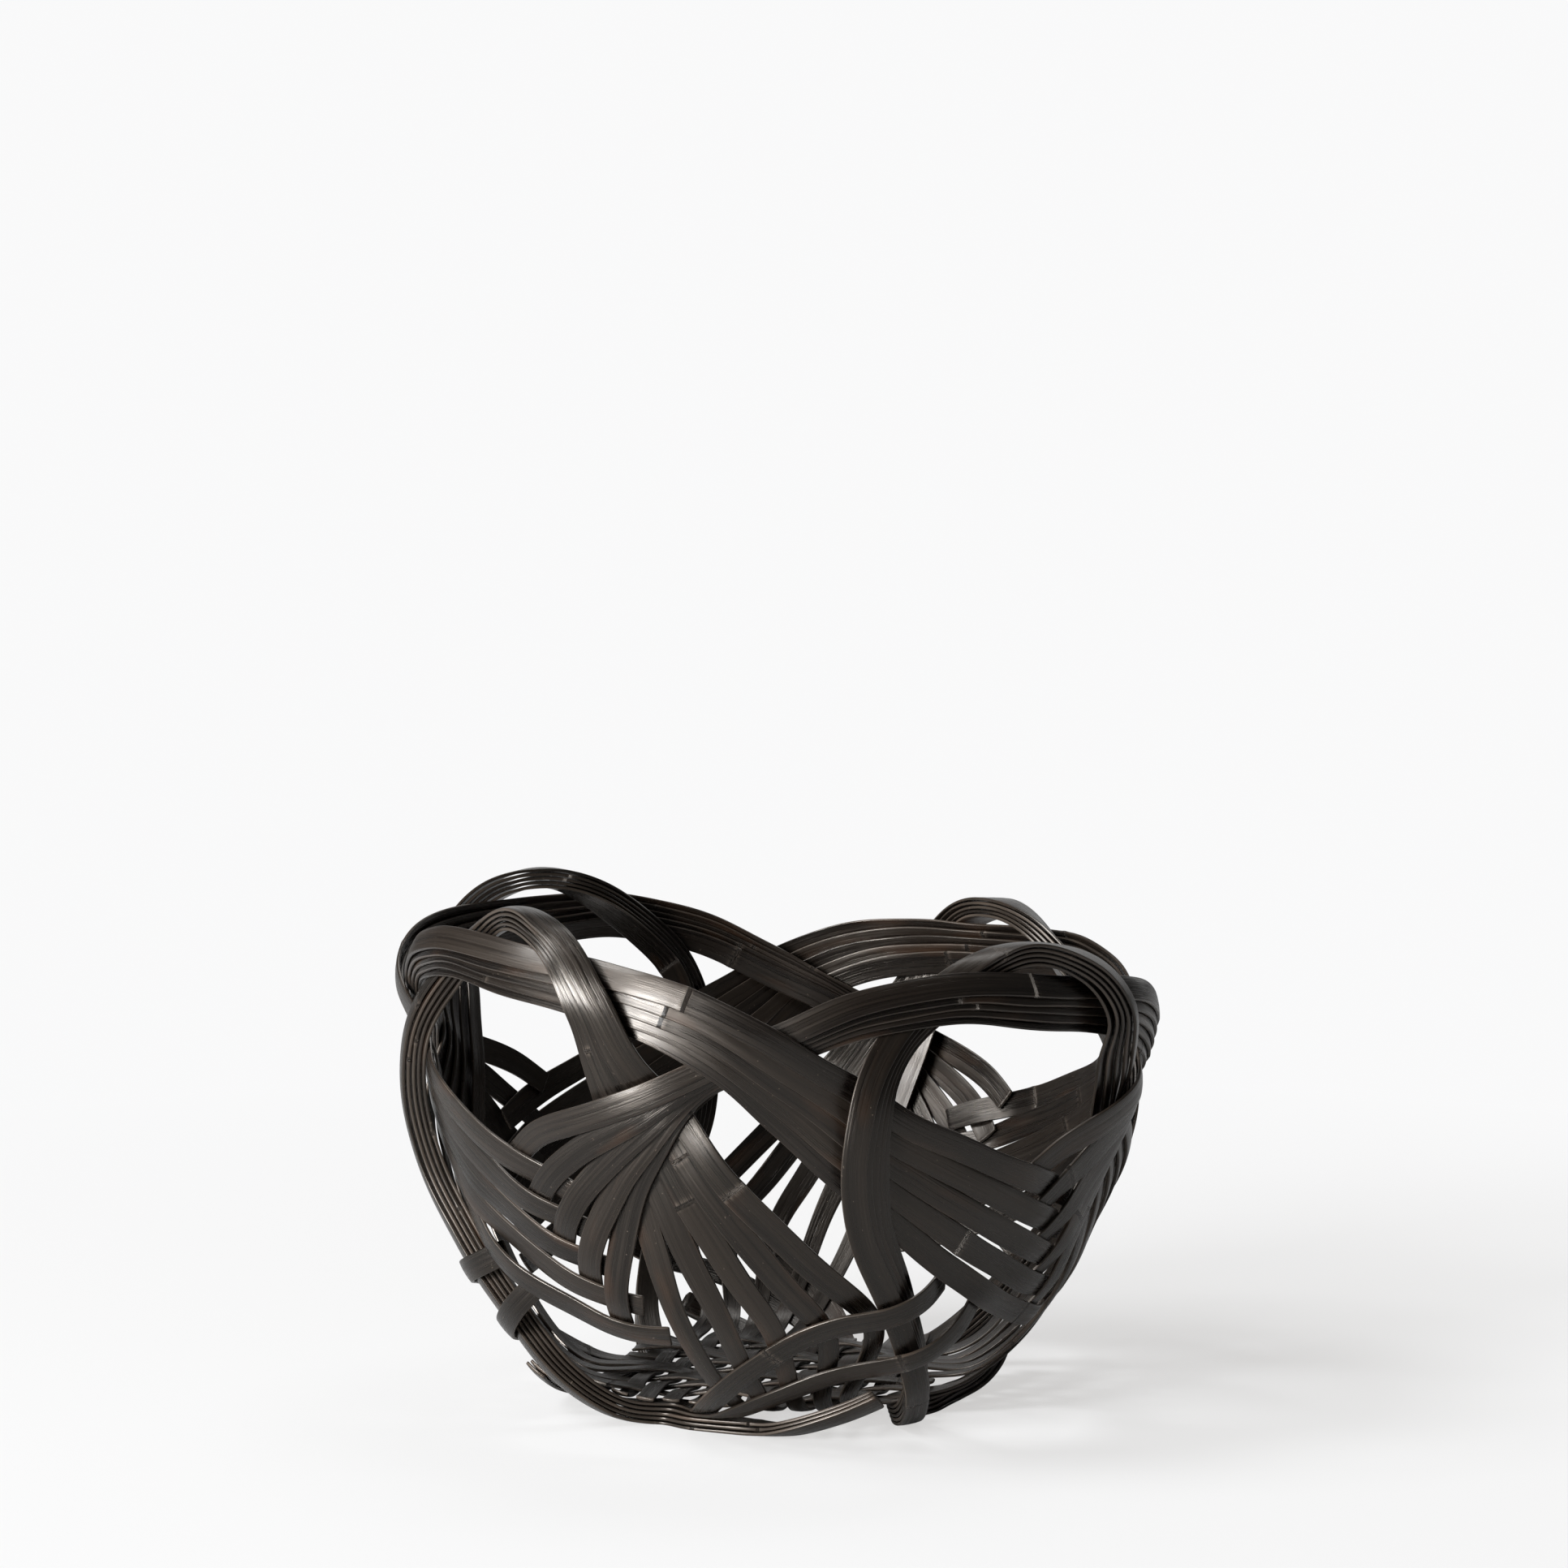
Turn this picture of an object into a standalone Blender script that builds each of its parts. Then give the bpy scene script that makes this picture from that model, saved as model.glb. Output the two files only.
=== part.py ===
"""Open bamboo basket, plaited from bundles of flat strips.

Four large arches and four small loops, each a bundle of five strips, stand
round a bowl. Each bundle opens into a fan at its feet. The fans of the arches
cross in the lower wall, the fans of the loops cross in the floor, and the left
legs of the loops run on below the floor as the ring that the basket stands on.
Two strips of each leave the ring again and rise over the next loop's left leg.
All lengths are metres, with +Z up and the origin under the middle of the floor.
"""

import math

import bpy
import numpy as np

# The bowl that the strips lie on
BOWL_RADIUS = 0.1455
BOWL_HEIGHT = 0.196
FLOOR_HEIGHT = 0.0098
PROFILE_SHARES = (
    (0.00, 0.000), (0.16, 0.000), (0.32, 0.000), (0.47, 0.000), (0.55, 0.014),
    (0.64, 0.065), (0.73, 0.145), (0.82, 0.250), (0.895, 0.380), (0.955, 0.520),
    (0.99, 0.660), (1.00, 0.760), (0.98, 0.880), (0.93, 1.000), (0.86, 1.120),
)
FLAT_FLOOR_SHARE = 0.47

# How far the rim leans down towards +X and +Y, as shares of the distance from the axis
LEAN_SHARES = (0.07, 0.025)

# The strips
SIDE_COUNT = 4
FIRST_TURN = 32.0
STRIP_COUNT = 5
STRIP_WIDTH = 0.0100
STRIP_THICKNESS = 0.0010
STRIP_GAP = 0.00070
STRIP_PITCH = STRIP_THICKNESS + STRIP_GAP

# How far one bundle stands clear of another where they cross
CROSSING_LIFT = 0.0040

# The floor weave
FLOOR_PITCH = 0.0105
FLOOR_FIRST = 0.0055
FLOOR_REACH = 0.066
FLOOR_TURN = 45.0
FLOOR_RUN_SHARES = (-1.18, -0.76, -0.23, 0.30, 0.83, 1.00)
FLOOR_WIDTH_SHARE = 0.72

# How strips lie on each other: they stack fully where their pitch is under the
# first share of their width, and lie side by side where it is over the second
STACKED_SHARE = 0.75
BESIDE_SHARE = 1.10
PITCH_SLOPE_SHARE = 0.80

# How finely the strips are worked out and drawn
STATION_STEP = 0.0035
DRAWN_ERROR = 0.00024
CURVE_STEPS = 16
PROFILE_STEPS = 24
EASE_TIMES = 6

# How the strips are pushed apart: where across a strip it is tested, how far
# from it another is looked for in widths, and the shares of each round's moves
TEST_SHARES = (-1, -0.5, 0, 0.5, 1)
REACH_SHARE = 1.6
LEAST_AGREE_SHARE = 0.2
APART_SHARE = 0.25
SHOULDER_SHARE = 0.2
SETTLE_ROUNDS = 300
EARLY_ROUNDS_SHARE = 0.85
PUSH_SHARE = 1.2
LEAST_WEIGHT_SHARE = 0.3
EARLY_BEND_SHARE = 0.05
LATE_BEND_SHARE = 0.02
LEVEL_SHARE = 0.01

# Routes of an arch: turn and height share of the first strip, of the last
# strip, lift share, tilt in degrees and width share, from left foot to right
ARCH_SHARES = (
    (-77, 0.530, -62.5, 0.205, 0.0, 0, 1.00),
    (-72, 0.575, -60.5, 0.295, 0.0, 0, 1.04),
    (-65, 0.616, -57.5, 0.400, 0.0, 0, 1.08),
    (-54, 0.672, -53, 0.525, 0.0, 0, 1.06),
    (-42, 0.747, -44, 0.696, -1.1, 4, 1.00),
    (-31, 0.822, -32, 0.774, -0.5, 8, 1.00),
    (-18, 0.896, -19, 0.846, 0.0, 12, 1.00),
    (-3, 0.928, -4, 0.878, 0.0, 14, 1.00),
    (12, 0.923, 10, 0.869, 0.0, 14, 1.00),
    (28, 0.915, 25, 0.852, 0.0, 8, 1.00),
    (43, 0.884, 38.5, 0.816, 1.1, 4, 1.00),
    (55, 0.827, 50, 0.749, 0.8, 0, 1.00),
    (68, 0.732, 58.5, 0.640, -1.3, 0, 1.00),
    (79, 0.645, 66, 0.555, -0.9, 0, 1.04),
    (89, 0.590, 74, 0.475, -0.5, 0, 1.04),
    (99, 0.540, 83, 0.388, -0.1, 0, 1.08),
    (106, 0.508, 96, 0.290, 0.0, 0, 1.08),
    (111, 0.485, 111, 0.215, 0.0, 0, 1.06),
    (115, 0.465, 127, 0.180, 0.0, 0, 1.00),
)

# The tails: the last two strips of a loop's left leg leave the far end of the ring
# and rise over the next loop's left leg. Turn and height share of the last strip
# but one, turn and height share of the last, and the lift share of both
TAIL_FIRST = 3
TAIL_SHARES = (
    (98, 0.255, 90, 0.305, 1.2), (93, 0.225, 85, 0.293, 2.1), (86, 0.180, 78, 0.270, 2.1),
    (77, 0.135, 70, 0.235, 0.8), (68, 0.095, 61, 0.180, 0.0), (58, 0.050, 51, 0.105, 0.0),
    (48, 0.015, 42, 0.035, 0.3),
)

# The ring under the floor, from its far end: turn, radius share of its first and
# last strip, and ground mark. The strips with tails have only its last rows
RING_SHARES = (
    (81, 0.690, 0.675, 0), (71, 0.610, 0.595, 0), (61, 0.540, 0.525, 0), (51, 0.485, 0.468, 1),
    (41, 0.466, 0.450, 1), (30, 0.464, 0.446, 1), (15, 0.468, 0.448, 1),
)
TAIL_RING_COUNT = 2
ON_GROUND_SHARE = 0.9

# The rest of a loop, in the same columns as an arch
LOOP_SHARES = (
    (0, 0.085, 1.5, 0.085, 1.3, 0, 1.00),
    (-7, 0.190, -4.5, 0.190, 0.6, 0, 1.00),
    (-14, 0.320, -10.5, 0.320, 0.6, 0, 1.00),
    (-19.5, 0.460, -15.5, 0.460, 1.0, 0, 1.00),
    (-20.5, 0.610, -16.5, 0.610, 0.9, 2, 1.00),
    (-17.5, 0.758, -14.5, 0.752, -0.6, 8, 1.00),
    (-10.5, 0.878, -8, 0.854, -1.7, 16, 1.00),
    (0, 0.970, 2, 0.943, -1.4, 36, 1.00),
    (12, 1.011, 12, 0.979, 0.0, 72, 1.00),
    (24, 0.968, 22, 0.939, 1.4, 36, 1.00),
    (32, 0.870, 28, 0.847, 1.7, 14, 1.00),
    (36.5, 0.762, 29.5, 0.752, 0.2, 4, 0.96),
    (43.5, 0.644, 32, 0.618, -0.4, 0, 1.00),
    (54, 0.482, 35.5, 0.476, 0.0, 0, 1.08),
    (66, 0.333, 38, 0.343, 0.0, 0, 1.04),
    (77, 0.216, 40, 0.226, 0.0, 0, 0.86),
)

# Colour, roughness and metallic value of the stained strips
ARCH_FINISH = ((0.030, 0.024, 0.020), 0.42, 0.0)
LOOP_FINISH = ((0.024, 0.019, 0.016), 0.40, 0.0)


def clear_scene():
    """Remove the objects that a new file starts with."""
    for thing in list(bpy.data.objects):
        bpy.data.objects.remove(thing, do_unlink=True)


def smooth_line(points, count):
    """Points of a Catmull-Rom curve through the given rows."""
    rows = np.asarray(points, dtype=float)
    rows = np.vstack([2 * rows[0] - rows[1], rows, 2 * rows[-1] - rows[-2]])
    u = np.linspace(0, 1, count, endpoint=False)[:, None]
    runs = []
    for a, b, c, d in zip(rows, rows[1:], rows[2:], rows[3:]):
        runs.append(0.5 * (2 * b + (c - a) * u + (2 * a - 5 * b + 4 * c - d) * u ** 2
                           + (3 * b - a - 3 * c + d) * u ** 3))
    runs.append(rows[-2:-1])
    return np.vstack(runs)


def eased(values, times):
    """Values smoothed along their length, with both ends kept."""
    for _ in range(times):
        values = np.r_[values[0], (values[:-2] + 2 * values[1:-1] + values[2:]) / 4, values[-1]]
    return values


class Bowl:
    """A turned bowl, unrolled so that a plan point's radius is a length of wall."""

    def __init__(self):
        shares = np.array(PROFILE_SHARES)
        rise = BOWL_HEIGHT - FLOOR_HEIGHT
        line = smooth_line(np.c_[shares[:, 0] * BOWL_RADIUS,
                                 FLOOR_HEIGHT + shares[:, 1] * rise],
                           PROFILE_STEPS)
        self.radius = eased(line[:, 0], EASE_TIMES)
        self.height = np.maximum(line[:, 1], FLOOR_HEIGHT)
        steps = np.hypot(np.diff(self.radius), np.diff(self.height))
        self.run = np.r_[0, np.cumsum(steps)]
        self.radius_slope = np.gradient(self.radius, self.run)
        self.height_slope = np.gradient(self.height, self.run)

    def on_wall(self, turn, height_share):
        """Plan point at a turn in degrees and a share of the height."""
        first = np.searchsorted(self.radius[:len(self.radius) // 2], BOWL_RADIUS * FLAT_FLOOR_SHARE)
        height = FLOOR_HEIGHT + height_share * (BOWL_HEIGHT - FLOOR_HEIGHT)
        return self.plan_point(turn, np.interp(height, self.height[first:], self.run[first:]))

    def on_floor(self, turn, radius_share):
        """Plan point on the flat floor, at a share of the radius."""
        return self.plan_point(turn, radius_share * BOWL_RADIUS)

    def plan_point(self, turn, run):
        angle = math.radians(turn)
        return np.array((run * math.cos(angle), run * math.sin(angle)))

    def lean(self, points):
        """Points lowered towards +X and +Y, more the higher they are."""
        share = (points[:, 2] - FLOOR_HEIGHT) / (BOWL_HEIGHT - FLOOR_HEIGHT)
        points[:, 2] -= share * (points[:, :2] @ np.array(LEAN_SHARES))
        return points

    def place(self, plan):
        """World points and outward directions of plan points."""
        run = np.hypot(plan[:, 0], plan[:, 1])
        angle = np.arctan2(plan[:, 1], plan[:, 0])
        radius = np.interp(run, self.run, self.radius)
        height = np.interp(run, self.run, self.height)
        out = np.interp(run, self.run, self.height_slope)
        down = np.interp(run, self.run, self.radius_slope)
        size = np.hypot(out, down)
        points = np.c_[radius * np.cos(angle), radius * np.sin(angle), height]
        normals = np.c_[out / size * np.cos(angle), out / size * np.sin(angle), -down / size]
        return points, normals


class Strip:
    """One strip: where it lies on the bowl, its frame and its two edges."""

    def __init__(self, bowl, kind, side, number):
        self.kind = kind
        self.side_number = side
        self.number = number
        line = self.stations(bowl, strip_rows(bowl, kind, number))
        angle = math.radians(FIRST_TURN + side * 360.0 / SIDE_COUNT)
        turn = np.array(((math.cos(angle), math.sin(angle)), (-math.sin(angle), math.cos(angle))))
        surface, out = bowl.place(line[:, :2] @ turn)
        surface = bowl.lean(surface)
        along = np.gradient(surface, axis=0)
        self.along = along / np.linalg.norm(along, axis=1)[:, None]
        side_way = np.cross(out, self.along)
        side_way /= np.linalg.norm(side_way, axis=1)[:, None]
        tilt = np.radians(line[:, 3])[:, None]
        self.face = np.cos(tilt) * out + np.sin(tilt) * side_way
        self.across = np.cos(tilt) * side_way - np.sin(tilt) * out
        self.on_ground = (line[:, 5] > ON_GROUND_SHARE) & (number == 0)
        self.middle = surface + out * line[:, 2:3]
        self.middle[self.on_ground, 2] = STRIP_THICKNESS / 2
        self.half_width = line[:, 4] * STRIP_WIDTH / 2
        self.upright = np.cos(tilt[:, 0]) ** 2
        self.count = len(line)
        self.top = int(np.argmax(self.middle[:, 2]))

    def stations(self, bowl, rows):
        """Rows of the route at even steps along the strip."""
        line = smooth_line(rows, CURVE_STEPS)
        surface, _ = bowl.place(line[:, :2])
        run = np.r_[0, np.cumsum(np.linalg.norm(np.diff(surface, axis=0), axis=1))]
        even = np.linspace(0, run[-1], int(round(run[-1] / STATION_STEP)) + 1)
        return np.column_stack([np.interp(even, run, column) for column in line.T])

    def edges(self, heights):
        """Both edges, pushed along the strip's face by their heights and kept above the ground."""
        aside = self.across * self.half_width[:, None]
        pair = (self.middle + aside + self.face * heights[0][:, None],
                self.middle - aside + self.face * heights[1][:, None])
        for edge in pair:
            edge[:, 2] = np.maximum(edge[:, 2], STRIP_THICKNESS / 2)
        return pair


def wall_rows(bowl, table, number):
    """Route rows of one strip of a bundle, from a table of its first and last strip."""
    share = number / (STRIP_COUNT - 1)
    middle = (STRIP_COUNT - 1) / 2
    rows = []
    for turn_a, height_a, turn_b, height_b, lift, tilt, width in table:
        first = bowl.on_wall(turn_a, height_a)
        last = bowl.on_wall(turn_b, height_b)
        pitch = PITCH_SLOPE_SHARE * np.linalg.norm(last - first) / (STRIP_COUNT - 1)
        nested = (BESIDE_SHARE - pitch / STRIP_WIDTH) / (BESIDE_SHARE - STACKED_SHARE)
        nested = min(1.0, max(0.0, nested))
        stack = (middle - number) * STRIP_PITCH * math.cos(math.radians(tilt)) * nested
        point = first + (last - first) * share
        rows.append((point[0], point[1], lift * CROSSING_LIFT + stack, tilt, width, 0))
    return rows


def tail_rows(bowl, number):
    """Route rows of one strip where it has left the far end of the ring."""
    rows = []
    for *places, lift in TAIL_SHARES:
        first = 2 * (number - TAIL_FIRST)
        point = bowl.on_wall(*places[first:first + 2])
        rows.append((point[0], point[1], lift * CROSSING_LIFT, 0, 1, 0))
    return rows


def ring_rows(bowl, number):
    """Route rows of one strip in the ring, after its tail if it has one."""
    share = number / (STRIP_COUNT - 1)
    lift = FLOOR_HEIGHT - STRIP_THICKNESS / 2 - number * STRIP_PITCH
    has_tail = number >= TAIL_FIRST
    rows = tail_rows(bowl, number) if has_tail else []
    for turn, radius_a, radius_b, mark in RING_SHARES[-TAIL_RING_COUNT if has_tail else 0:]:
        point = bowl.on_floor(turn, radius_a + (radius_b - radius_a) * share)
        rows.append((point[0], point[1], lift, 0, 1, mark))
    return rows


def floor_rows(number):
    """Route rows of one strip where it crosses the floor."""
    offset = FLOOR_FIRST + (STRIP_COUNT - 1 - number) * FLOOR_PITCH
    angle = math.radians(FLOOR_TURN + 180)
    along = np.array((math.cos(angle), math.sin(angle)))
    aside = np.array((along[1], -along[0]))
    rows = []
    for share in FLOOR_RUN_SHARES:
        point = offset * aside + share * FLOOR_REACH * along
        rows.append((point[0], point[1], 0, 0, FLOOR_WIDTH_SHARE, 0))
    return rows


def strip_rows(bowl, kind, number):
    """Plan point, lift, tilt, width share and ground mark along one strip."""
    if kind == "arch":
        return wall_rows(bowl, ARCH_SHARES, number)
    return ring_rows(bowl, number) + wall_rows(bowl, LOOP_SHARES, number) + floor_rows(number)


def twill(first, second):
    """Over two and under two: 1 where the first strip is outside, or -1."""
    return 1 if (first + second) % 4 < 2 else -1


def floor_place(strip):
    """Number of a strip in the floor, counted across the floor."""
    place = STRIP_COUNT - 1 - strip.number
    return place if strip.side_number < 2 else -1 - place


def arch_order(a, at_a, b, at_b):
    """Order of two arches' strips: where feet cross, a left foot's strip ends under its like."""
    ahead = (b.side_number - a.side_number) % SIDE_COUNT
    if ahead == 2 and at_a > at_b:
        return -arch_order(b, at_b, a, at_a)
    if ahead == 2:
        return 1 if a.number > b.number else -1
    return 1 if ahead == 1 else -1


def loop_order(a, at_a, b, at_b):
    """Order of two loops' strips."""
    left_a = at_a < a.top
    left_b = at_b < b.top
    if left_a != left_b:
        return 1 if left_a else -1
    ahead = (b.side_number - a.side_number) % SIDE_COUNT
    if left_a:
        return 1 if ahead == 1 else -1
    weave = twill(floor_place(a), floor_place(b))
    return weave if a.side_number % 2 == 0 else -weave


def arch_loop_order(arch, loop, at_loop):
    """Order of an arch's strip and a loop's strip."""
    ahead = (loop.side_number - arch.side_number) % SIDE_COUNT
    left = at_loop < loop.top
    if ahead == 0:
        return 1 if left or at_loop > loop.top + loop.count * SHOULDER_SHARE else -1
    if left:
        return -1
    if ahead == 3:
        return 1
    return 1 if (arch.number + loop.number) % 2 else -1


def order(a, at_a, b, at_b):
    """1 where strip a passes outside strip b, or -1 where it passes inside."""
    if a.kind == b.kind and a.side_number == b.side_number:
        if abs(at_a / a.count - at_b / b.count) > APART_SHARE:
            return 1 if at_a < at_b else -1
        return 1 if a.number < b.number else -1
    if a.kind == b.kind == "arch":
        return arch_order(a, at_a, b, at_b)
    if a.kind == b.kind:
        return loop_order(a, at_a, b, at_b)
    if a.kind == "arch":
        return arch_loop_order(a, b, at_b)
    return -arch_loop_order(b, a, at_a)


def meetings(a, b, start_a, start_b):
    """Rows for the points of strip a that lie over strip b."""
    rows = []
    reach = REACH_SHARE * STRIP_WIDTH
    low = b.middle.min(axis=0) - reach
    high = b.middle.max(axis=0) + reach
    same = a.kind == b.kind and a.side_number == b.side_number
    for across in TEST_SHARES:
        points = a.middle + a.across * (across * a.half_width)[:, None]
        i = np.where(((points > low) & (points < high)).all(axis=1))[0]
        if not len(i):
            continue
        away = ((points[i, None, :] - b.middle[None]) ** 2).sum(axis=2)
        m = away.argmin(axis=1)
        close = away[np.arange(len(i)), m] < reach ** 2
        i, m = i[close], m[close]
        ahead = ((points[i] - b.middle[m]) * b.along[m]).sum(axis=1)
        n = np.where(ahead > 0, m + 1, m - 1)
        beside = ((n >= 0) & (n < b.count)) | (np.abs(ahead) < STATION_STEP)
        n = np.clip(n, 0, b.count - 1)
        step = np.linalg.norm(b.middle[n] - b.middle[m], axis=1)
        share = np.where(n == m, 0, np.minimum(1, np.abs(ahead) / np.maximum(step, STRIP_GAP)))
        mix = share[:, None]
        offset = points[i] - (b.middle[m] * (1 - mix) + b.middle[n] * mix)
        face = b.face[m] * (1 - mix) + b.face[n] * mix
        width = 2 * (b.half_width[m] * (1 - share) + b.half_width[n] * share)
        aside = (offset * (b.across[m] * (1 - mix) + b.across[n] * mix)).sum(axis=1)
        height = (offset * face).sum(axis=1)
        agree = (a.face[i] * face).sum(axis=1)
        tallest = 2 * STRIP_WIDTH * (1 if same else b.upright[m])
        over = beside & (np.abs(aside) < width / 2 + STRIP_GAP) & (np.abs(height) < tallest)
        edge = np.clip(aside / width, -0.5, 0.5)
        for q in np.where(over & (agree > LEAST_AGREE_SHARE))[0]:
            sign = order(a, i[q], b, m[q])
            rows.append((start_a + i[q], across, start_b + m[q], start_b + n[q], share[q],
                         edge[q], height[q], agree[q], sign))
    return rows


def all_meetings(strips, starts):
    """Rows for every pair of strips that lie over each other."""
    rows = []
    for a, start_a in zip(strips, starts):
        for b, start_b in zip(strips, starts):
            if a is not b:
                rows += meetings(a, b, start_a, start_b)
    return np.array(rows)


def settle(strips):
    """Heights of both edges of every strip, pushed apart until none meet."""
    starts = np.cumsum([0] + [strip.count for strip in strips])
    table = all_meetings(strips, starts)
    here, there, beyond = table[:, 0].astype(int), table[:, 2].astype(int), table[:, 3].astype(int)
    across, share, edge, height, agree, sign = table[:, [1, 4, 5, 6, 7, 8]].T
    total = starts[-1]
    free = 1.0 - np.concatenate([strip.on_ground for strip in strips])
    before = np.maximum(np.arange(total) - 1, 0)
    after = np.minimum(np.arange(total) + 1, total - 1)
    before[starts[:-1]] = starts[:-1]
    after[starts[1:] - 1] = starts[1:] - 1
    end = (before == np.arange(total)) | (after == np.arange(total))
    pulls = (
        (0, here, 0.5 + across / 2, 1), (1, here, 0.5 - across / 2, 1),
        (0, there, (0.5 + edge) * (1 - share), -1), (1, there, (0.5 - edge) * (1 - share), -1),
        (0, beyond, (0.5 + edge) * share, -1), (1, beyond, (0.5 - edge) * share, -1),
    )
    heights = np.zeros((2, total))
    for step in range(SETTLE_ROUNDS):
        stiff = EARLY_BEND_SHARE if step < EARLY_ROUNDS_SHARE * SETTLE_ROUNDS else LATE_BEND_SHARE
        apart = agree * (pulls[0][2] * heights[0, here] + pulls[1][2] * heights[1, here])
        for side, index, weight, _ in pulls[2:]:
            apart = apart - weight * heights[side, index]
        short = STRIP_PITCH - sign * (height + apart)
        bad = short > 0
        moved = np.zeros((2, total))
        weights = np.zeros((2, total))
        for side, index, weight, way in pulls:
            moved[side] += np.bincount(index[bad], (0.5 * short * sign * weight * way)[bad], total)
            weights[side] += np.bincount(index[bad], weight[bad], total)
        heights += free * PUSH_SHARE * moved / np.maximum(weights, LEAST_WEIGHT_SHARE)
        for _ in range(2):
            bend = heights[:, before] + heights[:, after] - 2 * heights
            bend[:, end] = 0
            heights -= free * stiff * (bend[:, before] + bend[:, after] - 2 * bend)
        heights += LEVEL_SHARE * free * (heights.mean(axis=0) - heights)
    return heights, starts


def needed(edges):
    """Stations that keep both edges within the drawn error."""
    keep = [0]
    last = len(edges[0]) - 1
    while keep[-1] < last:
        a = keep[-1]
        b = a + 1
        while b < last and strays(edges, a, b + 1) < DRAWN_ERROR:
            b += 1
        keep.append(b)
    return keep


def strays(edges, a, b):
    """Greatest distance of the edges between two stations from a straight run."""
    worst = 0.0
    share = (np.arange(a, b + 1) - a)[:, None] / (b - a)
    for edge in edges:
        chord = edge[a] + (edge[b] - edge[a]) * share
        worst = max(worst, float(np.linalg.norm(edge[a:b + 1] - chord, axis=1).max()))
    return worst


def ribbon(name, edges, material, collection):
    """An open strip of faces between two edges, thickened by Solidify."""
    keep = needed(edges)
    points = [tuple(edge[i]) for i in keep for edge in edges]
    faces = [(2 * i, 2 * i + 1, 2 * i + 3, 2 * i + 2) for i in range(len(keep) - 1)]
    mesh = bpy.data.meshes.new(name)
    mesh.from_pydata(points, [], faces)
    mesh.materials.append(material)
    strip = bpy.data.objects.new(name, mesh)
    collection.objects.link(strip)
    wall = strip.modifiers.new("thickness", "SOLIDIFY")
    wall.thickness = STRIP_THICKNESS
    wall.offset = 0
    return strip


def stain(name, finish):
    """A plain stained and lacquered bamboo material."""
    colour, roughness, metallic = finish
    material = bpy.data.materials.new(name)
    material.use_nodes = True
    shader = material.node_tree.nodes["Principled BSDF"]
    shader.inputs["Base Color"].default_value = (*colour, 1)
    shader.inputs["Roughness"].default_value = roughness
    shader.inputs["Metallic"].default_value = metallic
    return material


def build():
    """Make every strip of the basket."""
    clear_scene()
    collection = bpy.data.collections.new("bamboo_basket")
    bpy.context.scene.collection.children.link(collection)
    bowl = Bowl()
    strips = [Strip(bowl, kind, side, number) for side in range(SIDE_COUNT)
              for kind in ("arch", "loop") for number in range(STRIP_COUNT)]
    heights, starts = settle(strips)
    finishes = {"arch": ARCH_FINISH, "loop": LOOP_FINISH}
    for strip, start in zip(strips, starts):
        name = f"{strip.kind}_{strip.side_number + 1}_strip_{strip.number + 1}"
        material = stain(name + "_stain", finishes[strip.kind])
        ribbon(name, strip.edges(heights[:, start:start + strip.count]), material, collection)


build()
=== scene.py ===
"""Looks of the open bamboo basket: every strip as split, stained and lacquered bamboo.

Each CAD strip is a thin faceted ribbon. Its two edges are read from the frame,
drawn as smooth curves, and skinned again with rounded corners, a slight crown
and bow, small wanderings, softened cut ends and the joints that bamboo has.
All lengths are metres.
"""

import math
import random

import bmesh
import bpy
import numpy as np
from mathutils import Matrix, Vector


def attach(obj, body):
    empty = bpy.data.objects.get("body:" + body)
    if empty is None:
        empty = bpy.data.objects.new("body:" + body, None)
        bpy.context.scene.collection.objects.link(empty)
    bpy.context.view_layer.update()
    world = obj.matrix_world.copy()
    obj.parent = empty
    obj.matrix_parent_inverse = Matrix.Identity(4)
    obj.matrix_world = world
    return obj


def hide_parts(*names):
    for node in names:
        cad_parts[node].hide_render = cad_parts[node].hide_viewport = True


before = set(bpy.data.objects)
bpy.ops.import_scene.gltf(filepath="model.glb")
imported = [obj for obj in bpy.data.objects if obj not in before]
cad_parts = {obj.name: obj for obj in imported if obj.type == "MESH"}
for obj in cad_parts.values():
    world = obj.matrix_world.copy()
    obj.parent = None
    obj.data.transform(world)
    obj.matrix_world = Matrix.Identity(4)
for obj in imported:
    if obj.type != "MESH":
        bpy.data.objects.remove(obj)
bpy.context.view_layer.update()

# Camera, placed as the photo's, in front of the basket and a little above it
CAMERA_PLACE = (0.0035, -1.73, 0.39)
CAMERA_PITCH = 4.74
CAMERA_LENS_MM = 100
SENSOR_MM = 36

# Corners of the CAD ribbons that are nearer than this are the same
WELD = 1e-6

# Smoothing of the strips' edges: the step along them, the length that is smoothed
# over, the longer one for the peaks of the loops, the heights between which it
# takes over, and how many lengths the smoothing reaches
STEP = 0.0018
SMOOTH_LENGTH = 0.0030
PEAK_SMOOTH_LENGTH = 0.0075
PEAK_HEIGHTS = (0.165, 0.188)
SMOOTH_REACH = 3

# Section of the strips: thickness, rounding of the corners, how far the two faces
# bulge and the whole section bows outward, and the places across the face, in half
# widths, that it is drawn through
THICKNESS = 0.00128
CORNER = 0.00034
CORNER_STEPS = 3
CROWN = 0.00006
BOW = 0.00034
FLAT_SHARES = (-0.55, 0.0, 0.55)

# Cut ends: how long the softened end is, and its share of the thickness
END_LENGTH = 0.0006
END_SHARE = 0.6

# How the hand-split strips wander: share of the width, distance sideways and
# outward, and the lengths of the waves
WIDTH_WANDER = 0.05
SIDE_WANDER = 0.00028
FACE_WANDER = 0.00006
WANDER_LENGTHS = (0.17, 0.071, 0.043)

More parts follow.
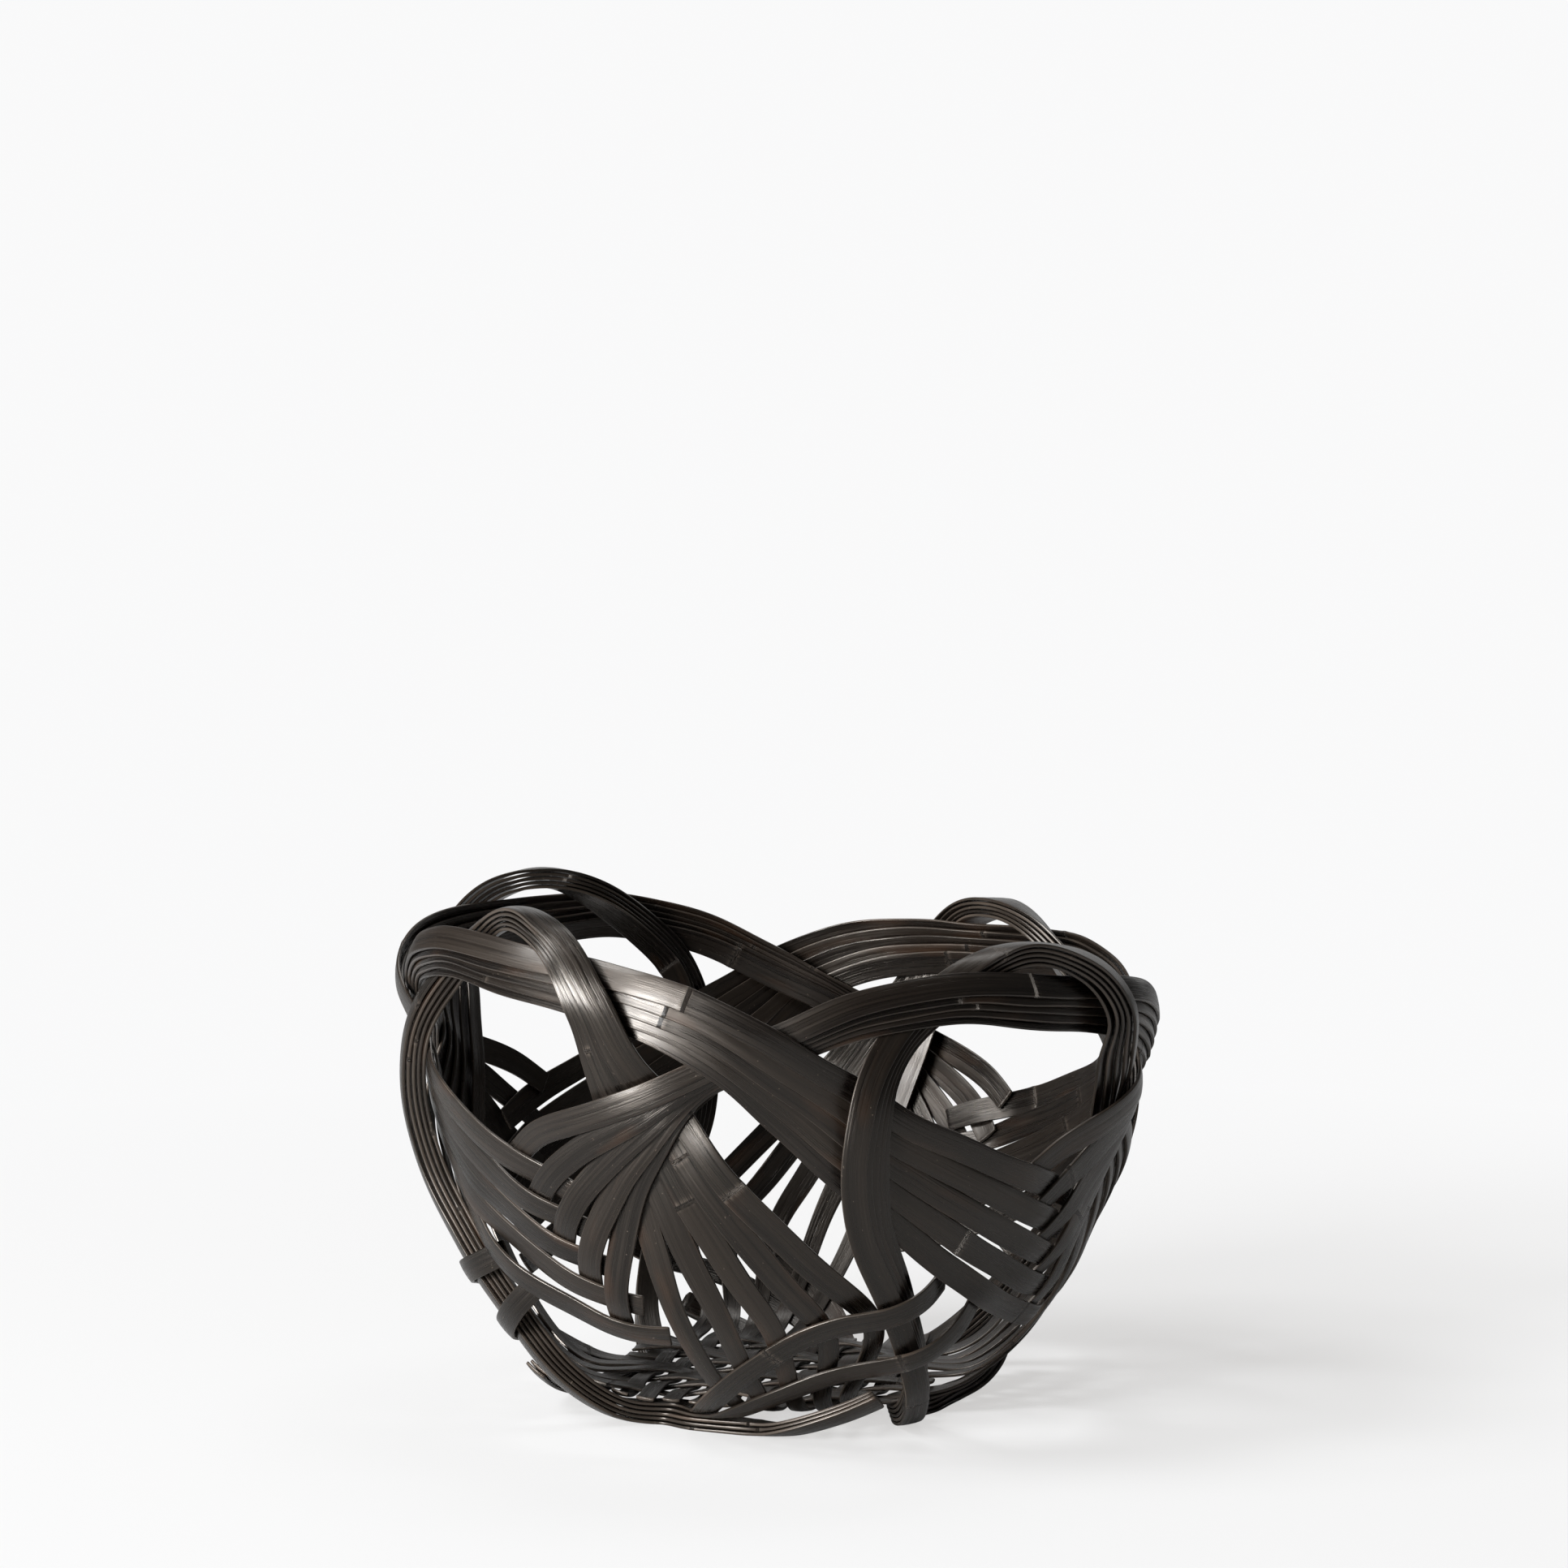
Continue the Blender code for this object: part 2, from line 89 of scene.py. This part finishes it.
# Joints of the bamboo: how far apart, how far those of one bundle are staggered,
# where the first is, how long and high each is, and how much wider the strip is there
JOINT_SPACING = 0.236
JOINT_STAGGER = 0.030
FIRST_JOINTS = {"arch_1": 0.05, "arch_2": 0.17, "arch_3": 0.092, "arch_4": 0.21,
                "loop_1": 0.02, "loop_2": 0.13, "loop_3": 0.08, "loop_4": 0.19}
JOINT_HALF_LENGTH = 0.0030
JOINT_HEIGHT = 0.00013
JOINT_WIDTH_SHARE = 0.035

# Colours of the bamboo: darkest and lightest stain, brown patches, bare wood at
# worn places, also used for painted glints and the painted highlight on lit edges,
# tint of the reflection, and the scuffed rim and groove of a joint
ARCH_DARK = (0.0022, 0.0015, 0.0012)
ARCH_LIGHT = (0.0118, 0.0083, 0.0060)
LOOP_DARK = (0.0020, 0.0014, 0.0011)
LOOP_LIGHT = (0.0108, 0.0077, 0.0056)
BROWN = (0.0400, 0.0198, 0.0106)
# The bare-wood colour is also the colour of the painted glints and of the painted highlight on lit edges
BARE_WOOD_AND_HIGHLIGHT = (0.0850, 0.0670, 0.0530)
SHEEN = (1.0, 0.91, 0.82)
JOINT_PALE = (0.0700, 0.0560, 0.0450)
JOINT_DEEP = (0.0020, 0.0016, 0.0014)

# Grain of the bamboo: waves to the metre along and across the strip and from one
# strip to the next, and how fine the noise is
FIBRE_GRAIN = ((26, 2300, 40), 3)
STREAK_GRAIN = ((9, 700, 90), 3)
BAND_GRAIN = ((4, 210, 70), 2)
PATCH_GRAIN = ((19, 80, 130), 2)
# Painted glints: rare bright specks that stand in for glints of light
PAINTED_GLINT_GRAIN = ((700, 900, 60), 1)
WARP_GRAIN = ((11, 60, 170), 1)
NOISE_ROUGHNESS = 0.6

# How the grain becomes colour. A range holds the lowest and highest value read,
# and, where it has four numbers, what they become. A share says how much of the
# colour shows at most.
STREAK_SHARE = 0.55
STRIP_TONES = (0, 1, -0.05, 0.05)
INTERNODE_TONES = (0, 1, -0.10, 0.10)
STAIN_RANGE = (0.38, 0.64)
PATCH_RANGE = (0.56, 0.76)
PATCH_SHARE = 0.55
FIBRE_RANGE = (0.60, 0.80)
FIBRE_SHARE = 0.22
# Painted glints: the noise values that become a painted glint, and how much of it shows
PAINTED_GLINT_RANGE = (0.765, 0.79)
PAINTED_GLINT_SHARE = 0.9
# Paler edges: bare wood where the stain is rubbed off, and partly a painted highlight along lit edges
EDGE_RANGE = (0.935, 0.985)
WEAR_AND_HIGHLIGHT_RANGE = (0.42, 0.64, 0.06, 0.55)
SCUFF_RANGE = (0.44, 0.60, 0.0, 0.8)
JOINT_RIM_RANGE = (0.15, 0.75)
JOINT_GROOVE_RANGE = (0.80, 0.98, 0.0, 0.85)
CUT_RANGE = (0.0, END_LENGTH, 0.45, 0.0)

# Gloss of the lacquer and the height of the grain under it
STREAK_ROUGHNESS = (0.30, 0.70, 0.22, 0.40)
FIBRE_ROUGHNESS = (0.3, 0.7, -0.06, 0.07)
INTERNODE_ROUGHNESS = (0.0, 1.0, -0.04, 0.05)
GRAIN_HEIGHT = 0.00018
FIBRE_HEIGHT_SHARE = 0.8
WARP_HEIGHT_SHARE = 7.0
SPECULAR = 0.50
COAT_WEIGHT = 0.18
COAT_ROUGHNESS = 0.18

# The floor: its size and colour, what the camera sees of it near the basket, as
# light that it throws back and light of its own, and the distances from the basket
# between which it turns into the colour of the room
FLOOR_SIZE = 60.0
FLOOR_COLOUR = (0.44, 0.44, 0.44)
FLOOR_SEEN_COLOUR = (0.272, 0.279, 0.286)
FLOOR_GLOW = (0.588, 0.579, 0.571)
FLOOR_NEAR = 0.27
FLOOR_FAR = 0.85

# The room as the camera sees it and as it lights the basket
ROOM_SEEN = (0.950, 0.950, 0.953)
ROOM_LIGHT = (0.074, 0.073, 0.071)

# A broad sun, and soft lamps with their place, size and power, aimed at the basket
SUN_STRENGTH = 2.0
SUN_ANGLE = 24
SUN_FROM = (-0.66, -0.10, 0.86)
SOFT_LAMPS = {"key": ((-2.60, -2.35, 0.88), (1.50, 1.50), 300),
              "fill": ((0.15, 0.55, 1.9), (0.9, 0.5), 6),
              "back": ((0.25, 1.5, 0.75), (2.2, 1.0), 4)}
AIM = (0, 0, 0.1)


def welded(node):
    """Corners of a CAD node, each place once, and its triangles."""
    mesh = node.data
    mesh.calc_loop_triangles()
    points = np.array([tuple(vertex.co) for vertex in mesh.vertices])
    faces = np.array([tuple(face.vertices) for face in mesh.loop_triangles])
    _, first, place = np.unique(np.round(points / WELD).astype(int), axis=0,
                                return_index=True, return_inverse=True)
    return points[first], place.ravel()[faces]


def ribbon_ring(points, faces):
    """Places of the ribbon's edges, in order round it, midway through its thickness."""
    away = np.linalg.norm(points[:, None] - points[None], axis=2)
    np.fill_diagonal(away, np.inf)
    thick = np.median(away.min(axis=1))
    other = np.abs(away - thick).argmin(axis=1)
    label = np.minimum(other, np.arange(len(points)))
    near = [set() for _ in points]
    for face in faces:
        for i, j, k in (face, np.roll(face, 1), np.roll(face, 2)):
            if label[i] == label[j] != label[k]:
                near[label[i]].add(label[k])
                near[label[k]].add(label[i])
    ring = [int(label[0])]
    before = None
    while True:
        ways = [n for n in near[ring[-1]] if n != before]
        before = ring[-1]
        if ways[0] == ring[0]:
            break
        ring.append(int(ways[0]))
    return np.array([(points[i] + points[other[i]]) / 2 for i in ring])


def two_edges(ring):
    """The ring split into its two long edges, station by station."""
    half = len(ring) // 2
    best = None
    for start in range(half):
        turned = np.roll(ring, -start, axis=0)
        left = turned[:half]
        right = turned[half:][::-1]
        width = np.linalg.norm(left - right, axis=1).sum()
        if best is None or width < best[0]:
            best = (width, left, right)
    return best[1], best[2]


def spline(stations, rows, places):
    """Natural cubic spline through rows at stations, read at places."""
    count = len(stations)
    step = np.diff(stations)
    matrix = np.eye(count)
    target = np.zeros_like(rows)
    for i in range(1, count - 1):
        matrix[i, i - 1:i + 2] = step[i - 1], 2 * (step[i - 1] + step[i]), step[i]
        target[i] = 6 * ((rows[i + 1] - rows[i]) / step[i] - (rows[i] - rows[i - 1]) / step[i - 1])
    bend = np.linalg.solve(matrix, target)
    i = np.clip(np.searchsorted(stations, places) - 1, 0, count - 2)
    h = step[i][:, None]
    a = (stations[i + 1] - places)[:, None]
    b = (places - stations[i])[:, None]
    return ((bend[i] * a ** 3 + bend[i + 1] * b ** 3) / (6 * h)
            + (rows[i] / h - bend[i] * h / 6) * a + (rows[i + 1] / h - bend[i + 1] * h / 6) * b)


def smoothed(rows, step, length):
    """Rows at even places, smoothed over a length with both ends kept."""
    reach = int(SMOOTH_REACH * length / step)
    offsets = np.arange(-reach, reach + 1)
    weights = np.exp(-(offsets * step / length) ** 2 / 2)
    weights /= weights.sum()
    before = 2 * rows[0] - rows[reach:0:-1]
    after = 2 * rows[-1] - rows[-2:-reach - 2:-1]
    padded = np.vstack([before, rows, after])
    return sum(weight * padded[i:i + len(rows)] for i, weight in enumerate(weights))


def rounded(stations, edge, even):
    """An edge as a smooth curve at even places, smoothest at the peaks of the loops."""
    rows = spline(stations, edge, even)
    low, high = PEAK_HEIGHTS
    share = np.clip((rows[:, 2:] - low) / (high - low), 0, 1)
    return ((1 - share) * smoothed(rows, even[1], SMOOTH_LENGTH)
            + share * smoothed(rows, even[1], PEAK_SMOOTH_LENGTH))


def wander(places, chance):
    """A slow random wave along a strip, from -1 to 1."""
    waves = [np.sin(places / length * math.tau + chance.uniform(0, math.tau))
             for length in WANDER_LENGTHS]
    return sum(waves) / len(waves)


class Line:
    """The middle of a strip and its directions at even places, read from its edges."""

    def __init__(self, left, right, chance):
        middle = (left + right) / 2
        stations = np.r_[0, np.cumsum(np.linalg.norm(np.diff(middle, axis=0), axis=1))]
        even = np.linspace(0, stations[-1], int(stations[-1] / STEP) + 1)
        self.places = np.r_[0, END_LENGTH, even[1:-1], stations[-1] - END_LENGTH, stations[-1]]
        left = self.at_places(even, rounded(stations, left, even))
        right = self.at_places(even, rounded(stations, right, even))
        self.middle = (left + right) / 2
        across = (left - right) / 2
        along = np.gradient(self.middle, axis=0)
        face = np.cross(along, across)
        self.face = face / np.linalg.norm(face, axis=1)[:, None]
        self.half = np.linalg.norm(across, axis=1)
        self.across = across / self.half[:, None]
        if (self.face * self.middle * (1, 1, 0)).sum() < 0:
            self.face = -self.face
        self.half = self.half * (1 - WIDTH_WANDER * (0.5 + 0.5 * wander(self.places, chance)))
        self.middle += self.across * (SIDE_WANDER * wander(self.places, chance))[:, None]
        self.middle += self.face * (FACE_WANDER * wander(self.places, chance))[:, None]

    def at_places(self, even, rows):
        """Rows at even places, read at the strip's own places."""
        return np.stack([np.interp(self.places, even, row) for row in rows.T], axis=1)


def joints(places, first):
    """How much of a joint there is at each place, from 0 to 1."""
    to_joint = np.abs((places - first + JOINT_SPACING / 2) % JOINT_SPACING - JOINT_SPACING / 2)
    share = np.clip(1 - to_joint / JOINT_HALF_LENGTH, 0, 1)
    return share * share * (3 - 2 * share)


def internodes(places, first, chance):
    """A tone from 0 to 1 for each length between joints."""
    number = np.floor((places - first) / JOINT_SPACING).astype(int)
    tones = {n: chance.random() for n in range(number.min(), number.max() + 1)}
    return np.array([tones[n] for n in number])


def section_points(half, thick, joint):
    """Across and thickness offsets of the section at every station."""
    half = half * (1 + JOINT_WIDTH_SHARE * joint)
    turns = np.linspace(0, math.pi / 2, CORNER_STEPS + 1)
    corner = [(math.sin(turn), math.cos(turn)) for turn in turns]
    rows = []
    for way in (1, -1):
        for share in FLAT_SHARES:
            height = thick + CROWN * (1 - share * share) + JOINT_HEIGHT * joint
            rows.append((way * half * share, way * height))
        for x, y in corner:
            rows.append((way * (half - CORNER + CORNER * x), way * corner_height(thick, joint, y)))
        for x, y in corner[::-1]:
            rows.append((way * (half - CORNER + CORNER * x), -way * corner_height(thick, joint, y)))
    rows = np.stack([np.stack(row, axis=1) for row in rows], axis=1)
    rows[:, :, 1] += BOW * (1 - (rows[:, :, 0] / half[:, None]) ** 2)
    return rows


def corner_height(thick, joint, share):
    """Height of a rounded corner's point above the middle of the strip."""
    return thick - CORNER + (CORNER + JOINT_HEIGHT * joint) * share


def strip_mesh(name, line, first_joint, chance):
    """A closed strip with rounded corners, a crown, softened ends and bamboo joints."""
    count = len(line.places)
    joint = joints(line.places, first_joint)
    thick = np.full(count, THICKNESS / 2)
    thick[[0, -1]] *= END_SHARE
    half = line.half.copy()
    half[[0, -1]] -= THICKNESS / 2 * (1 - END_SHARE)
    ring = section_points(half, thick, joint)
    size = ring.shape[1]
    points = (line.middle[:, None] + line.across[:, None] * ring[:, :, :1]
              + line.face[:, None] * ring[:, :, 1:2])
    points[:, :, 2] = np.maximum(points[:, :, 2], 0)
    faces = []
    for i in range(count - 1):
        for j in range(size):
            k = (j + 1) % size
            faces.append((i * size + j, i * size + k, (i + 1) * size + k, (i + 1) * size + j))
    faces.append(tuple(range(size)))
    faces.append(tuple(range(count * size - 1, (count - 1) * size - 1, -1)))
    mesh = bpy.data.meshes.new(name)
    mesh.from_pydata(points.reshape(-1, 3).tolist(), [], faces)
    to_end = np.minimum(line.places, line.places[-1] - line.places)
    fields = {"along": np.repeat(line.places, size), "aside": ring[:, :, 0].ravel(),
              "across": (ring[:, :, 0] / half[:, None]).ravel(), "joint": np.repeat(joint, size),
              "to_end": np.repeat(to_end, size), "chance": np.full(count * size, chance.random()),
              "internode": np.repeat(internodes(line.places, first_joint, chance), size)}
    for field, values in fields.items():
        mesh.attributes.new(field, "FLOAT", "POINT").data.foreach_set("value", values.astype(np.float32))
    turn_outward(mesh)
    return mesh


def turn_outward(mesh):
    """Turn the faces outward and shade them smooth."""
    work = bmesh.new()
    work.from_mesh(mesh)
    bmesh.ops.recalc_face_normals(work, faces=work.faces)
    work.to_mesh(mesh)
    work.free()
    mesh.shade_smooth()


class Graph:
    """A material's nodes, with short names for the ones used here."""

    def __init__(self, name):
        self.material = bpy.data.materials.new(name)
        self.material.use_nodes = True
        self.tree = self.material.node_tree
        self.shader = self.tree.nodes["Principled BSDF"]

    def add(self, kind, **settings):
        """A new node."""
        node = self.tree.nodes.new(kind)
        for key, value in settings.items():
            setattr(node, key, value)
        return node

    def put(self, socket, value):
        """Link a socket to another, or set its value."""
        if isinstance(value, bpy.types.NodeSocket):
            self.tree.links.new(value, socket)
        elif isinstance(value, tuple) and socket.type == "RGBA":
            socket.default_value = (*value, 1)
        else:
            socket.default_value = value

    def field(self, name):
        """One of the values that the strip's mesh carries."""
        return self.add("ShaderNodeAttribute", attribute_name=name).outputs["Fac"]

    def vector(self, x, y, z):
        """Three values as one place."""
        node = self.add("ShaderNodeCombineXYZ")
        for socket, value in zip(node.inputs, (x, y, z)):
            self.put(socket, value)
        return node.outputs["Vector"]

    def noise(self, where, scale, detail):
        """Noise that is stretched along the strip."""
        stretch = self.add("ShaderNodeVectorMath", operation="MULTIPLY")
        self.put(stretch.inputs[0], where)
        self.put(stretch.inputs[1], scale)
        node = self.add("ShaderNodeTexNoise")
        self.put(node.inputs["Vector"], stretch.outputs[0])
        self.put(node.inputs["Scale"], 1.0)
        self.put(node.inputs["Detail"], detail)
        self.put(node.inputs["Roughness"], NOISE_ROUGHNESS)
        return node.outputs["Fac"]

    def spread(self, value, low, high, to_low=0.0, to_high=1.0):
        """A value spread from one range to another, and kept within it."""
        node = self.add("ShaderNodeMapRange")
        for key, entry in (("Value", value), ("From Min", low), ("From Max", high),
                           ("To Min", to_low), ("To Max", to_high)):
            self.put(node.inputs[key], entry)
        return node.outputs["Result"]

    def mix(self, share, first, second):
        """The first colour, or the second where the share is 1."""
        node = self.add("ShaderNodeMix", data_type="RGBA")
        self.put(node.inputs["Factor"], share)
        self.put(node.inputs[6], first)
        self.put(node.inputs[7], second)
        return node.outputs[2]

    def either(self, share, first, second):
        """The first shader, or the second where the share is 1."""
        node = self.add("ShaderNodeMixShader")
        self.put(node.inputs[0], share)
        self.put(node.inputs[1], first.outputs[0])
        self.put(node.inputs[2], second.outputs[0])
        return node

    def maths(self, operation, first, second=0.0):
        """One sum of two values."""
        node = self.add("ShaderNodeMath", operation=operation)
        self.put(node.inputs[0], first)
        self.put(node.inputs[1], second)
        return node.outputs[0]

    def times(self, first, second):
        return self.maths("MULTIPLY", first, second)

    def plus(self, first, second):
        return self.maths("ADD", first, second)

    def middle(self, first, second):
        """The value midway between two."""
        return self.plus(self.times(first, 0.5), self.times(second, 0.5))


def bamboo(name, dark, light):
    """Stained, lacquered split bamboo: long grain, brown patches, worn edges with a painted highlight,
    painted glints, and joints.
    """
    graph = Graph(name)
    chance = graph.field("chance")
    internode = graph.field("internode")
    where = graph.vector(graph.field("along"), graph.field("aside"), graph.plus(chance, internode))
    fibre = graph.noise(where, *FIBRE_GRAIN)
    streak = graph.noise(where, *STREAK_GRAIN)
    band = graph.noise(where, *BAND_GRAIN)
    patch = graph.noise(where, *PATCH_GRAIN)
    painted_glint = graph.noise(where, *PAINTED_GLINT_GRAIN)
    warp = graph.noise(where, *WARP_GRAIN)

    tone = graph.plus(graph.times(streak, STREAK_SHARE), graph.times(band, 1 - STREAK_SHARE))
    tone = graph.plus(tone, graph.spread(chance, *STRIP_TONES))
    tone = graph.plus(tone, graph.spread(internode, *INTERNODE_TONES))
    colour = graph.mix(graph.spread(tone, *STAIN_RANGE), dark, light)
    colour = graph.mix(graph.times(graph.spread(patch, *PATCH_RANGE), PATCH_SHARE), colour, BROWN)
    colour = graph.mix(graph.times(graph.spread(fibre, *FIBRE_RANGE), FIBRE_SHARE), colour, BARE_WOOD_AND_HIGHLIGHT)
    # Painted glints: rare bright specks of bare-wood colour stand in for glints of light
    colour = graph.mix(graph.times(graph.spread(painted_glint, *PAINTED_GLINT_RANGE), PAINTED_GLINT_SHARE), colour, BARE_WOOD_AND_HIGHLIGHT)
    # Paler edges: partly worn bare wood, partly a painted highlight on the lit edges
    colour = worn_and_highlit_edges(graph, colour, patch, streak)
    colour = joint_marks(graph, colour, fibre, streak)
    colour = graph.mix(graph.spread(graph.field("to_end"), *CUT_RANGE), colour, BARE_WOOD_AND_HIGHLIGHT)
    graph.put(graph.shader.inputs["Base Color"], colour)
    lacquer(graph, fibre, streak, internode)
    height = graph.plus(graph.times(fibre, FIBRE_HEIGHT_SHARE), graph.plus(streak, band))
    height = graph.plus(height, graph.times(warp, WARP_HEIGHT_SHARE))
    bump = graph.add("ShaderNodeBump")
    graph.put(bump.inputs["Strength"], 1.0)
    graph.put(bump.inputs["Distance"], GRAIN_HEIGHT)
    graph.put(bump.inputs["Height"], height)
    graph.put(graph.shader.inputs["Normal"], bump.outputs["Normal"])
    return graph.material


def worn_and_highlit_edges(graph, colour, patch, streak):
    """The stain rubbed off along the edges, more in some places than in others, with a painted highlight
    where the edges catch the light.
    """
    edge = graph.spread(graph.maths("ABSOLUTE", graph.field("across")), *EDGE_RANGE)
    wear_and_highlight = graph.spread(graph.middle(patch, streak), *WEAR_AND_HIGHLIGHT_RANGE)
    return graph.mix(graph.times(edge, wear_and_highlight), colour, BARE_WOOD_AND_HIGHLIGHT)


def joint_marks(graph, colour, fibre, streak):
    """A scuffed rim round each joint and a dark groove on it."""
    joint = graph.field("joint")
    scuff = graph.spread(graph.middle(fibre, streak), *SCUFF_RANGE)
    colour = graph.mix(graph.times(graph.spread(joint, *JOINT_RIM_RANGE), scuff), colour, JOINT_PALE)
    return graph.mix(graph.spread(joint, *JOINT_GROOVE_RANGE), colour, JOINT_DEEP)


def lacquer(graph, fibre, streak, internode):
    """A satin gloss that follows the grain, under a thin coat."""
    rough = graph.plus(graph.spread(streak, *STREAK_ROUGHNESS), graph.spread(fibre, *FIBRE_ROUGHNESS))
    rough = graph.plus(rough, graph.spread(internode, *INTERNODE_ROUGHNESS))
    graph.put(graph.shader.inputs["Roughness"], rough)
    graph.put(graph.shader.inputs["Specular IOR Level"], SPECULAR)
    graph.put(graph.shader.inputs["Specular Tint"], SHEEN)
    graph.put(graph.shader.inputs["Coat Weight"], COAT_WEIGHT)
    graph.put(graph.shader.inputs["Coat Roughness"], COAT_ROUGHNESS)


def dress_strips():
    """Replace every CAD strip by its finished strip."""
    finishes = {"arch": bamboo("stained_bamboo_arches", ARCH_DARK, ARCH_LIGHT),
                "loop": bamboo("stained_bamboo_loops", LOOP_DARK, LOOP_LIGHT)}
    for number, name in enumerate(sorted(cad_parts)):
        kind, side = name.split("_")[:2]
        chance = random.Random(number)
        first_joint = FIRST_JOINTS[kind + "_" + side] + chance.uniform(-JOINT_STAGGER, JOINT_STAGGER)
        line = Line(*two_edges(ribbon_ring(*welded(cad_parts[name]))), chance)
        mesh = strip_mesh(name + "_finished", line, first_joint, chance)
        mesh.materials.append(finishes[kind])
        piece = bpy.data.objects.new(name + "_finished", mesh)
        bpy.context.scene.collection.objects.link(piece)
        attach(piece, "root")
        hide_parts(name)


def lay_floor():
    """A plain pale floor. The camera sees it near white, with the basket's shadow."""
    half = FLOOR_SIZE / 2
    corners = [(-half, -half, 0), (half, -half, 0), (half, half, 0), (-half, half, 0)]
    mesh = bpy.data.meshes.new("floor")
    mesh.from_pydata(corners, [], [(0, 1, 2, 3)])
    floor = bpy.data.objects.new("floor", mesh)
    bpy.context.scene.collection.objects.link(floor)
    mesh.materials.append(pale_floor())


def pale_floor():
    """A dull floor that fades into the room, where the camera sees it, away from the basket."""
    graph = Graph("pale_floor")
    graph.put(graph.shader.inputs["Base Color"], FLOOR_COLOUR)
    graph.put(graph.shader.inputs["Roughness"], 1.0)
    graph.put(graph.shader.inputs["Specular IOR Level"], 0.0)
    lit = graph.add("ShaderNodeBsdfDiffuse")
    graph.put(lit.inputs["Color"], FLOOR_SEEN_COLOUR)
    glow = graph.add("ShaderNodeEmission")
    graph.put(glow.inputs["Color"], FLOOR_GLOW)
    near = graph.add("ShaderNodeAddShader")
    graph.put(near.inputs[0], lit.outputs[0])
    graph.put(near.inputs[1], glow.outputs[0])
    far = graph.add("ShaderNodeEmission")
    graph.put(far.inputs["Color"], ROOM_SEEN)
    distance = graph.add("ShaderNodeVectorMath", operation="LENGTH")
    graph.put(distance.inputs[0], graph.add("ShaderNodeNewGeometry").outputs["Position"])
    seen = graph.either(graph.spread(distance.outputs["Value"], FLOOR_NEAR, FLOOR_FAR), near, far)
    camera = graph.add("ShaderNodeLightPath").outputs["Is Camera Ray"]
    surface = graph.either(camera, graph.shader, seen)
    graph.put(graph.tree.nodes["Material Output"].inputs["Surface"], surface.outputs[0])
    return graph.material


def lamp(name, kind, place, **settings):
    """A lamp that shines at the basket and that the camera doesn't see."""
    light = bpy.data.lights.new(name, kind)
    for key, value in settings.items():
        setattr(light, key, value)
    thing = bpy.data.objects.new(name, light)
    thing.location = place
    thing.rotation_euler = (Vector(AIM) - Vector(place)).to_track_quat("-Z", "Y").to_euler()
    thing.visible_camera = False
    bpy.context.scene.collection.objects.link(thing)


def light_studio():
    """Soft light from the left in a pale room that the camera sees as near white."""
    world = bpy.data.worlds.new("studio")
    bpy.context.scene.world = world
    world.use_nodes = True
    tree = world.node_tree
    path = tree.nodes.new("ShaderNodeLightPath")
    pick = tree.nodes.new("ShaderNodeMix")
    pick.data_type = "RGBA"
    pick.inputs[6].default_value = (*ROOM_LIGHT, 1)
    pick.inputs[7].default_value = (*ROOM_SEEN, 1)
    tree.links.new(path.outputs["Is Camera Ray"], pick.inputs["Factor"])
    tree.links.new(pick.outputs[2], tree.nodes["Background"].inputs["Color"])
    lamp("sun", "SUN", SUN_FROM, energy=SUN_STRENGTH, angle=math.radians(SUN_ANGLE))
    for name, (place, (width, height), power) in SOFT_LAMPS.items():
        lamp(name, "AREA", place, energy=power, shape="RECTANGLE", size=width, size_y=height)


def place_camera():
    """The photo's viewing angle."""
    data = bpy.data.cameras.new("camera")
    data.lens = CAMERA_LENS_MM
    data.sensor_width = SENSOR_MM
    camera = bpy.data.objects.new("camera", data)
    camera.location = CAMERA_PLACE
    camera.rotation_euler = (math.radians(90 - CAMERA_PITCH), 0, 0)
    bpy.context.scene.collection.objects.link(camera)
    bpy.context.scene.camera = camera


place_camera()
dress_strips()
lay_floor()
light_studio()
bpy.context.scene.view_settings.view_transform = "Standard"
